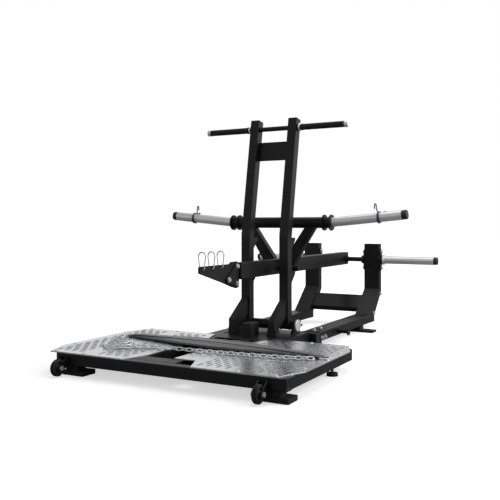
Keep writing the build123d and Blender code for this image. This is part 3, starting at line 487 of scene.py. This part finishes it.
TYRE_INNER = 0.0275
TYRE_ROUND = 0.006         # width of the tyre's rounded shoulder
GROOVE_AT = 0.0035         # two grooves, either side of the tyre's middle
GROOVE_DEEP = 0.0016
HUB_BORE = 0.0065
HUB_BOSS = 0.013
HUB_WEB_IN = 0.0045        # the web lies this far inside the hub's faces

for name in ("wheel_left", "wheel_right"):
    wheel_low, wheel_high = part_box(name)
    centre = (wheel_low + wheel_high) / 2
    half = (wheel_high.x - wheel_low.x) / 2
    outer = (wheel_high.z - wheel_low.z) / 2
    tyre = [(-half, TYRE_INNER), (-half, outer - 0.007), (-half + 0.002, outer - 0.003),
            (-half + TYRE_ROUND, outer)]
    for groove in (-GROOVE_AT, GROOVE_AT):
        tyre += [(groove - 0.0014, outer), (groove - 0.0009, outer - GROOVE_DEEP),
                 (groove + 0.0009, outer - GROOVE_DEEP), (groove + 0.0014, outer)]
    tyre += [(half - TYRE_ROUND, outer), (half - 0.002, outer - 0.003), (half, outer - 0.007),
             (half, TYRE_INNER), (-half, TYRE_INNER)]
    made = lathe_x(f"{name}_tyre", tyre, centre, rubber, name, 64)
    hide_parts(name)
    boss, rim, web = half - 0.001, half - 0.0015, half - HUB_WEB_IN
    hub = [(-boss, HUB_BORE), (-boss, HUB_BOSS), (-web, HUB_BOSS + 0.0015),
           (-web, TYRE_INNER - 0.0035), (-rim, TYRE_INNER - 0.002), (-rim, TYRE_INNER),
           (rim, TYRE_INNER), (rim, TYRE_INNER - 0.002), (web, TYRE_INNER - 0.0035),
           (web, HUB_BOSS + 0.0015), (boss, HUB_BOSS), (boss, HUB_BORE), (-boss, HUB_BORE)]
    lathe_x(f"{name}_hub", hub, centre, plastic, name)

# ------------------------------------------------------------ handle bar grips
# Black rubber sleeves stretched over the bar, moulded with shallow rings, and a bright steel
# collar against each post.
GRIP_R = 0.0165
GRIP_BORE = 0.0128
GRIP_START = 0.162         # inner end of a grip, from the machine's middle
GRIP_LIP = 0.002           # raised ring at the inner end
GROOVE_STEP = 0.008
GROOVE_FIRST = 0.016
BAR_GROOVE = 0.0009        # depth of a groove in a grip
COLLAR_START = 0.146
COLLAR_LONG = 0.009
COLLAR_R = 0.021
COLLAR_BORE = 0.0126
COLLAR_EDGE = 0.0012

grip_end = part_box("bar_grips")[1].x
for side, word in ((-1, "left"), (1, "right")):
    length = grip_end - GRIP_START
    outline = [(0, GRIP_BORE), (0, GRIP_R + 0.75 * GRIP_LIP), (side * 0.002, GRIP_R + GRIP_LIP),
               (side * 0.005, GRIP_R + GRIP_LIP), (side * 0.007, GRIP_R)]
    x = GROOVE_FIRST
    while x < length - GROOVE_FIRST:
        outline += [(side * (x - 0.0016), GRIP_R), (side * (x - 0.0008), GRIP_R - BAR_GROOVE),
                    (side * (x + 0.0008), GRIP_R - BAR_GROOVE), (side * (x + 0.0016), GRIP_R)]
        x += GROOVE_STEP
    outline += [(side * (length - 0.001), GRIP_R), (side * length, GRIP_R - 0.001),
                (side * length, GRIP_BORE), (0, GRIP_BORE)]
    made = lathe_x(f"bar_grip_{word}", outline, (side * GRIP_START, bar.y, bar.z), rubber, "tower")
    if side > 0:
        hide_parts("bar_grips")
    collar = [(0, COLLAR_BORE), (0, COLLAR_R - 0.0015), (side * COLLAR_EDGE, COLLAR_R),
              (side * (COLLAR_LONG - COLLAR_EDGE), COLLAR_R), (side * COLLAR_LONG, COLLAR_R - 0.0015),
              (side * COLLAR_LONG, COLLAR_BORE), (0, COLLAR_BORE)]
    lathe_x(f"bar_collar_{word}", collar, (side * COLLAR_START, bar.y, bar.z), chrome, "tower")

# ------------------------------------------------------------ spring collars
# Round spring steel wire coiled twice round the horn, its two ends bent up into finger loops that
# cross over. The oil-hardened wire is a dark shiny grey.
spring, tree, place = material("spring_steel_wire")
colour, cloud = blotches(tree, place, 220.0, "#55575b", "#7b7d82")
close(tree, add(tree, "ShaderNodeBsdfPrincipled", {
    "Base Color": colour,
    "Metallic": 1.0,
    "Roughness": spread(tree, cloud, 0.25, 0.4),
    "Normal": add(tree, "ShaderNodeBump", {
        "Height": cloud, "Strength": 0.12, "Distance": 0.0001,
    }).outputs["Normal"],
}))
dress(("spring_collar_left", "spring_collar_right"), spring)

WIRE = 0.0033
COIL_R = 0.0290
COIL_PITCH = 0.0074
TILT = radians(5.5)
COLLAR_AT = 0.262          # along the horn from its root
HANDLE = 0.044             # finger loops stand this far off the coil
HANDLE_HALF = 0.0055       # half the width of a finger loop
HANDLE_TURN = 1.15         # radians between the two finger loops, round the horn


def tube(name, points, radius, finish, body):
    """A round wire along a smooth line, as mesh data."""
    curve = bpy.data.curves.new(name, "CURVE")
    curve.dimensions = "3D"
    curve.bevel_depth = radius
    curve.bevel_resolution = 4
    curve.resolution_u = 6
    curve.use_fill_caps = True
    line = curve.splines.new("NURBS")
    line.points.add(len(points) - 1)
    for spot, point in zip(line.points, points):
        spot.co = (*point, 1.0)
    line.order_u = 3
    line.use_endpoint_u = True
    holder = bpy.data.objects.new(name, curve)
    scene.collection.objects.link(holder)
    bpy.context.view_layer.update()
    data = bpy.data.meshes.new_from_object(holder.evaluated_get(bpy.context.evaluated_depsgraph_get()))
    bpy.data.objects.remove(holder)
    bpy.data.curves.remove(curve)
    work = bmesh.new()
    work.from_mesh(data)
    bpy.data.meshes.remove(data)
    return mesh_object(name, from_bmesh(work, name), finish, body)


HORN_ROOT_Y = 0.139        # where the horns' axes leave the weight tube
HORN_ROOT_Z = 0.674
COIL_TURNS = 2
root_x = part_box("weight_tube")[1].x
back = Vector((0, 1, 0))
last_angle = 2 * pi * COIL_TURNS + HANDLE_TURN
steps = round(16 * last_angle / (2 * pi))
for side, word in ((-1, "left"), (1, "right")):
    along = Vector((side * cos(TILT), 0, sin(TILT)))
    rise = Vector((-side * sin(TILT), 0, cos(TILT)))
    middle = Vector((side * root_x, HORN_ROOT_Y, HORN_ROOT_Z)) + along * COLLAR_AT
    wire = []
    for angle, way in ((0.0, -1), (last_angle, 1)):
        out = cos(angle) * rise + sin(angle) * back
        root = middle + way * COIL_PITCH * along * (COIL_TURNS / 2 + 0.1)
        loop = [
            root + out * (COIL_R + height) + along * way * width
            for height, width in (
                (0.006, 0.0), (0.5 * HANDLE, 0.0005), (HANDLE - 0.004, 0.001),
                (HANDLE, HANDLE_HALF), (HANDLE - 0.004, 2 * HANDLE_HALF - 0.001),
                (0.6 * HANDLE, 2 * HANDLE_HALF), (0.4 * HANDLE, 2 * HANDLE_HALF),
            )
        ]
        if way < 0:
            wire += loop[::-1]
            for k in range(1, steps):
                turned = last_angle * k / steps
                wire.append(
                    middle
                    + along * COIL_PITCH * COIL_TURNS * (k / steps - 0.5)
                    + COIL_R * (cos(turned) * rise + sin(turned) * back)
                )
        else:
            wire += loop
    made = tube(f"collar_wire_{word}", wire, WIRE, spring, f"collar_{word}")
    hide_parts(f"spring_collar_{word}")

# ------------------------------------------------------------ hip belt
# A wide hip pad of foam in a nylon shell, narrowing to a 50 mm webbing strap that is sewn along
# its middle and turned round a steel ring at each end. Two sewn channels run along the pad and a
# woven tape binds its edge.
THREAD = 0.0011            # weave, one thread every 1.1 mm

shell, tree, place = material("nylon_pack_cloth_black")
colour, cloud = blotches(tree, place, 25.0, "#303032", "#3e3e40")
warp = add(tree, "ShaderNodeTexWave", {
    "Vector": place, "Scale": 0.1 / THREAD, "Distortion": 0.6, "Detail": 1.0,
}, bands_direction="X")
weft = add(tree, "ShaderNodeTexWave", {
    "Vector": place, "Scale": 0.1 / THREAD, "Distortion": 0.6, "Detail": 1.0,
}, bands_direction="Y")
weave = add(tree, "ShaderNodeMath", {0: warp.outputs["Fac"], 1: weft.outputs["Fac"]}, operation="MULTIPLY")
close(tree, add(tree, "ShaderNodeBsdfPrincipled", {
    "Base Color": colour,
    "Roughness": spread(tree, cloud, 0.5, 0.62),
    "Sheen Weight": 0.5,
    "Sheen Roughness": 0.4,
    "Normal": add(tree, "ShaderNodeBump", {
        "Height": weave.outputs["Value"], "Strength": 0.5, "Distance": 0.0004,
    }).outputs["Normal"],
}))

webbing, tree, place = material("woven_nylon_webbing_black")
colour, cloud = blotches(tree, place, 40.0, "#333335", "#434345")
ribs = add(tree, "ShaderNodeTexWave", {
    "Vector": place, "Scale": 0.05 / THREAD, "Distortion": 1.2, "Detail": 2.0,
}, bands_direction="DIAGONAL")
close(tree, add(tree, "ShaderNodeBsdfPrincipled", {
    "Base Color": colour,
    "Roughness": spread(tree, cloud, 0.42, 0.56),
    "Sheen Weight": 0.3,
    "Normal": add(tree, "ShaderNodeBump", {
        "Height": ribs.outputs["Fac"], "Strength": 0.6, "Distance": 0.0006,
    }).outputs["Normal"],
}))

thread, tree, place = material("bonded_polyester_thread")
colour, cloud = blotches(tree, place, 300.0, "#5c5c5e", "#757577")
close(tree, add(tree, "ShaderNodeBsdfPrincipled", {
    "Base Color": colour,
    "Roughness": spread(tree, cloud, 0.5, 0.7),
}))

BELT_LEFT = Vector((-0.488, FRONT + 0.487, 0))
BELT_RIGHT = Vector((0.566, FRONT + 0.412, 0))
belt_low, belt_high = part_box("belt_pad")
HALF = (BELT_RIGHT - BELT_LEFT).length / 2
MIDDLE = (BELT_LEFT + BELT_RIGHT) / 2
LENGTHWAYS = (BELT_RIGHT - BELT_LEFT).normalized()
SIDEWAYS = Vector((-LENGTHWAYS.y, LENGTHWAYS.x, 0))
END_HALF = 0.026
MID_HALF = 0.092
END_THICK = 0.0075
MID_THICK_MORE = 0.0105
PAD_LIFT = 0.0022          # underside above the lowest point of the belt
END_LIFT = 0.0025          # further lift of the underside at the ends
PAD_EDGE = 0.002           # the binding covers this much of each edge
PAD_ROUND = 0.55           # squareness of the pad's rounded cross-section
AROUND = 40
STATIONS = 120
VOXEL = 0.005
PUFF_MOST = 0.005          # farthest that the filling pushes the shell
CHANNEL = 0.56             # sewn channels, as a share of the pad's half width
SEW_DIP = 0.0035
SEW_HALF = 0.008           # half width of the dip along a seam


def belt_half(s):
    """Half width of the pad at s, from -1 at the left end to 1 at the right end."""
    return END_HALF + (MID_HALF - END_HALF) * cos(pi * s / 2) ** 1.4


def belt_spot(s, v, z):
    """Point of the belt at s along it, v across it in metres, and height z."""
    flat = MIDDLE + LENGTHWAYS * (s * HALF) + SIDEWAYS * v
    return Vector((flat.x, flat.y, z))


def pad_shape():
    """The pad before it is filled: rounded cross-sections that thin towards the ends."""
    work = bmesh.new()
    rings = []
    for step in range(STATIONS + 1):
        s = -1 + 2 * step / STATIONS
        half = belt_half(s) - PAD_EDGE
        thick = END_THICK + MID_THICK_MORE * cos(pi * s / 2) ** 0.8
        base = belt_low.z + PAD_LIFT + END_LIFT * (1 - cos(pi * s / 2))
        ring = []
        for k in range(AROUND):
            angle = 2 * pi * k / AROUND
            c, d = cos(angle), sin(angle)
            v = half * (1 if c > 0 else -1) * abs(c) ** PAD_ROUND
            z = base + thick / 2 + thick / 2 * (1 if d > 0 else -1) * abs(d) ** PAD_ROUND
            ring.append(work.verts.new(belt_spot(s, v, z)))
        rings.append(ring)
    for lower, upper in zip(rings, rings[1:]):
        for k in range(AROUND):
            work.faces.new((lower[k - 1], lower[k], upper[k], upper[k - 1]))
    work.faces.new(rings[0])
    work.faces.new(rings[-1])
    return from_bmesh(work, "belt_pad_filled")


def flat_place(point):
    """How far along the belt, -1 to 1, and across it, as a share of its half width, a point is."""
    away = Vector((point.x, point.y, 0)) - MIDDLE
    s = max(-1.0, min(1.0, away.dot(LENGTHWAYS) / HALF))
    return s, away.dot(SIDEWAYS) / belt_half(s)


pad = mesh_object("belt_pad_filled", pad_shape(), shell, "belt")
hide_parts("belt_pad")
remesh = pad.modifiers.new("voxels", "REMESH")
remesh.mode = "VOXEL"
remesh.voxel_size = VOXEL
remesh.use_smooth_shade = True
bpy.context.view_layer.objects.active = pad
pad.select_set(True)
bpy.ops.object.modifier_apply(modifier=remesh.name)

rest = [v.co.copy() for v in pad.data.vertices]
held = pad.vertex_groups.new(name="held")
for vertex in pad.data.vertices:
    s, v = flat_place(vertex.co)
    sewn = abs(abs(v) - CHANNEL) < 0.05 or abs(v) > 0.94 or abs(s) > 0.93
    if sewn or vertex.co.z < belt_low.z + 0.004:
        held.add([vertex.index], 1.0, "REPLACE")
cloth = pad.modifiers.new("fill", "CLOTH")
cloth.settings.use_pressure = True
cloth.settings.uniform_pressure_force = 4.0
cloth.settings.vertex_group_mass = "held"
cloth.settings.effector_weights.gravity = 0.0
cloth.settings.tension_stiffness = 12.0
cloth.collision_settings.use_collision = False
cloth.point_cache.frame_start = 1
cloth.point_cache.frame_end = 20
for number in range(1, 21):
    scene.frame_set(number)
bpy.ops.object.modifier_apply(modifier=cloth.name)
scene.frame_set(1)
pad.vertex_groups.clear()
for vertex, start in zip(pad.data.vertices, rest):
    moved = vertex.co - start
    if moved.length > PUFF_MOST:
        vertex.co = start + moved * (PUFF_MOST / moved.length)

for vertex in pad.data.vertices:
    s, v = flat_place(vertex.co)
    near = abs(abs(v) - CHANNEL) * belt_half(s)
    if vertex.co.z > belt_low.z + 0.008 and near < SEW_HALF:
        vertex.co.z -= SEW_DIP * cos(pi * near / (2 * SEW_HALF)) ** 2
finer = pad.modifiers.new("finer", "SUBSURF")
finer.levels = 1
finer.render_levels = 1
bpy.ops.object.modifier_apply(modifier=finer.name)

skin = BVHTree.FromObject(pad, bpy.context.evaluated_depsgraph_get())


def pad_top(s, v, above):
    """Point just over the top of the pad."""
    spot = belt_spot(s, v, belt_high.z + 0.05)
    hit = skin.ray_cast(spot, Vector((0, 0, -1)))[0]
    return Vector((spot.x, spot.y, (hit.z if hit else belt_low.z + 0.01) + above))


STRAP_HALF = 0.0245
STRAP_THICK = 0.0024
STRAP_SECTION = (
    (-1, -0.3), (-1, 0.3), (-0.96, 0.5), (-0.5, 0.5), (0, 0.5), (0.5, 0.5),
    (0.96, 0.5), (1, 0.3), (1, -0.3), (0.96, -0.5), (0, -0.5), (-0.96, -0.5),
)                          # shares of the strap's half width and of its thickness
RING_R = 0.003             # wire of the steel rings
TURN_R = 0.0044            # the webbing turns round a ring at this radius
TURN_OUT = 0.004           # the rings lie this far beyond the pad's ends
STRAP_UNDER = 0.0012       # height of the webbing that is sewn back under the pad


def strap_shape():
    """Webbing along the top of the pad, turned round the ring at each end and sewn back."""
    work = bmesh.new()
    line = [belt_spot(s, 0, belt_low.z + STRAP_UNDER) for s in (-0.88, -0.94)]
    eye = belt_spot(-1, 0, belt_low.z + RING_R) - LENGTHWAYS * TURN_OUT
    for k in range(9):
        angle = -pi / 2 - pi * k / 8
        line.append(eye + TURN_R * (cos(angle) * LENGTHWAYS + sin(angle) * Vector((0, 0, 1))))
    for step in range(3, 98):
        s = -1 + 2 * step / 100
        line.append(pad_top(s, 0, STRAP_THICK * 0.4))
    eye = belt_spot(1, 0, belt_low.z + RING_R) + LENGTHWAYS * TURN_OUT
    for k in range(9):
        angle = pi / 2 - pi * k / 8
        line.append(eye + TURN_R * (cos(angle) * LENGTHWAYS + sin(angle) * Vector((0, 0, 1))))
    line += [belt_spot(s, 0, belt_low.z + STRAP_UNDER) for s in (0.94, 0.88)]
    rings = []
    for index, point in enumerate(line):
        way = (line[min(index + 1, len(line) - 1)] - line[max(index - 1, 0)]).normalized()
        out = way.cross(SIDEWAYS).normalized() * -1
        ring = []
        for v, thick in STRAP_SECTION:
            ring.append(work.verts.new(point + SIDEWAYS * v * STRAP_HALF + out * thick * STRAP_THICK))
        rings.append(ring)
    for lower, upper in zip(rings, rings[1:]):
        for k in range(len(STRAP_SECTION)):
            work.faces.new((lower[k - 1], lower[k], upper[k], upper[k - 1]))
    work.faces.new(rings[0])
    work.faces.new(rings[-1])
    return from_bmesh(work, "belt_strap")


strap = mesh_object("belt_strap", strap_shape(), webbing, "belt")
strap.parent = pad
strap.matrix_parent_inverse = pad.matrix_world.inverted()


BINDING_R = 0.0036


def edge_line(side):
    """The pad's edge from end to end on one side, halfway up it."""
    return [
        belt_spot(
            s,
            side * (belt_half(s) - 0.001),
            belt_low.z + 0.0060 + 0.0055 * cos(pi * s / 2),
        )
        for s in (-0.985 + 1.97 * k / 60 for k in range(61))
    ]


for side, word in ((-1, "front"), (1, "back")):
    tube(f"belt_binding_{word}", edge_line(side), BINDING_R, webbing, "belt")

STITCH = 0.0055
STITCH_GAP = 0.0035
STITCH_R = 0.0006
SEAM_IN = 0.021            # seams along the strap, from its middle
CLOTH_LIFT = 0.0003        # the middle of the thread above the shell
STRAP_LIFT = STRAP_THICK * 0.9 + 0.0002   # and above the pad where it crosses the strap


def stitch(work, start, end):
    """One stitch: a short spindle of thread lying on the cloth."""
    way = (end - start).normalized()
    side = way.orthogonal().normalized()
    other = way.cross(side)
    rings = []
    for share, radius in ((0.0, 0.4), (0.2, 1.0), (0.8, 1.0), (1.0, 0.4)):
        centre = start.lerp(end, share)
        rings.append([
            work.verts.new(centre + STITCH_R * radius * (cos(a) * side + sin(a) * other))
            for a in (pi * k / 3 for k in range(6))
        ])
    for lower, upper in zip(rings, rings[1:]):
        for k in range(6):
            work.faces.new((lower[k - 1], lower[k], upper[k], upper[k - 1]))
    work.faces.new(rings[0])
    work.faces.new(rings[-1])


sewing = bmesh.new()
step = (STITCH + STITCH_GAP) / HALF
ROWS = (
    (CHANNEL, 0.9, None),
    (-CHANNEL, 0.9, None),
    (None, 0.965, SEAM_IN),
    (None, 0.965, -SEAM_IN),
)                          # share of the half width or a fixed place across, and how far it runs
for share, reach, fixed in ROWS:
    s = -reach
    while s < reach:
        ends = []
        for at in (s, s + STITCH / HALF):
            v = fixed if fixed is not None else share * belt_half(at)
            lift = STRAP_LIFT if fixed is not None else CLOTH_LIFT
            ends.append(pad_top(at, v if abs(v) < belt_half(at) - 0.004 else 0, lift))
        stitch(sewing, *ends)
        s += step
for end in SIDES:
    for near, far in ((0.86, 0.94), (0.94, 0.86)):
        for k in range(9):
            at = [near + (far - near) * (k + share) / 9 for share in (0.1, 0.75)]
            across = [-0.019 + 0.038 * (k + share) / 9 for share in (0.1, 0.75)]
            stitch(sewing, *[pad_top(end * a, v, STRAP_LIFT) for a, v in zip(at, across)])
mesh_object("belt_stitching", from_bmesh(sewing, "belt_stitching"), thread, "belt")

# ------------------------------------------------------------ studio
# A pale floor under a white room that is brighter behind the machine: a broad softbox high on the
# right, and an overhead bank that lays the grey sheen along the tops of the tubes.
FLOOR_NEAR = 0.58          # glow of the floor near the machine
GLOW_FROM = 1.2            # the glow grows to full between these distances
GLOW_TO = 3.4
DIM = 0.72                 # room light from the camera's side
BRIGHT = 0.95              # room light from behind the machine
LENS = 50.48
SENSOR = 36
SHIFT_UP = -0.0535
CAMERA_SPOT = (1.7175, -3.3795, 0.6685)
CAMERA_TURN = radians(28.54)

paint, tree, place = material("matt_floor_paint")
seen = add(tree, "ShaderNodeLightPath", {}).outputs["Is Camera Ray"]
colour = add(tree, "ShaderNodeMix", {
    "Factor": seen, 6: linear("#7c7c7c"), 7: linear("#e4e4e4"),
}, data_type="RGBA").outputs[2]
away = add(tree, "ShaderNodeVectorMath", {0: place}, operation="LENGTH").outputs["Value"]
reach = add(tree, "ShaderNodeMapRange", {
    "Value": away, "From Min": GLOW_FROM, "From Max": GLOW_TO, "To Min": FLOOR_NEAR, "To Max": 1.0,
}, interpolation_type="SMOOTHSTEP").outputs["Result"]
shine = add(tree, "ShaderNodeMath", {0: seen, 1: reach}, operation="MULTIPLY").outputs["Value"]
close(tree, add(tree, "ShaderNodeBsdfPrincipled", {
    "Base Color": colour,
    "Roughness": 0.85,
    "Emission Color": linear("#ffffff"),
    "Emission Strength": shine,
}))
work = bmesh.new()
bmesh.ops.create_grid(work, x_segments=2, y_segments=2, size=30)
data = bpy.data.meshes.new("studio_floor")
work.to_mesh(data)
work.free()
data.materials.append(paint)
floor = bpy.data.objects.new("studio_floor", data)
scene.collection.objects.link(floor)

world = bpy.data.worlds.new("studio_room")
world.use_nodes = True
tree = world.node_tree
tree.nodes.clear()
axes = add(tree, "ShaderNodeSeparateXYZ", {
    "Vector": add(tree, "ShaderNodeTexCoord", {}).outputs["Generated"],
})
along = add(tree, "ShaderNodeMapRange", {
    "Value": axes.outputs["Y"], "From Min": -0.4, "From Max": 0.7, "To Min": DIM, "To Max": BRIGHT,
}, interpolation_type="SMOOTHSTEP").outputs["Result"]
upward = add(tree, "ShaderNodeMapRange", {
    "Value": axes.outputs["Z"], "From Min": 0.2, "From Max": 0.75, "To Min": 1.0, "To Max": 0.16,
}, interpolation_type="SMOOTHSTEP").outputs["Result"]
glow = add(tree, "ShaderNodeMath", {0: along, 1: upward}, operation="MULTIPLY").outputs["Value"]
seen = add(tree, "ShaderNodeLightPath", {}).outputs["Is Camera Ray"]
level = add(tree, "ShaderNodeMix", {"Factor": seen, 2: glow, 3: 1.0}).outputs[0]
sky = add(tree, "ShaderNodeBackground", {"Color": linear("#ffffff"), "Strength": level})
add(tree, "ShaderNodeOutputWorld", {"Surface": sky.outputs["Background"]})
scene.world = world
scene.view_settings.view_transform = "Standard"


def softbox(name, spot, target, size, watts):
    """A square area light aimed at a point."""
    light = bpy.data.lights.new(name, "AREA")
    light.shape = "SQUARE"
    light.size = size
    light.energy = watts
    made = bpy.data.objects.new(name, light)
    scene.collection.objects.link(made)
    made.location = spot
    made.rotation_euler = (Vector(target) - Vector(spot)).to_track_quat("-Z", "Y").to_euler()


softbox("softbox_right", (3.4, 1.2, 2.4), (0, 0, 0.4), 2.4, 90)
softbox("softbox_top", (0.0, 0.4, 4.2), (0, 0, 0), 3.0, 60)

camera_data = bpy.data.cameras.new("camera")
camera_data.lens = LENS
camera_data.sensor_width = SENSOR
camera_data.shift_y = SHIFT_UP
camera = bpy.data.objects.new("camera", camera_data)
camera.location = CAMERA_SPOT
camera.rotation_euler = (radians(90), 0, CAMERA_TURN)
scene.collection.objects.link(camera)
scene.camera = camera
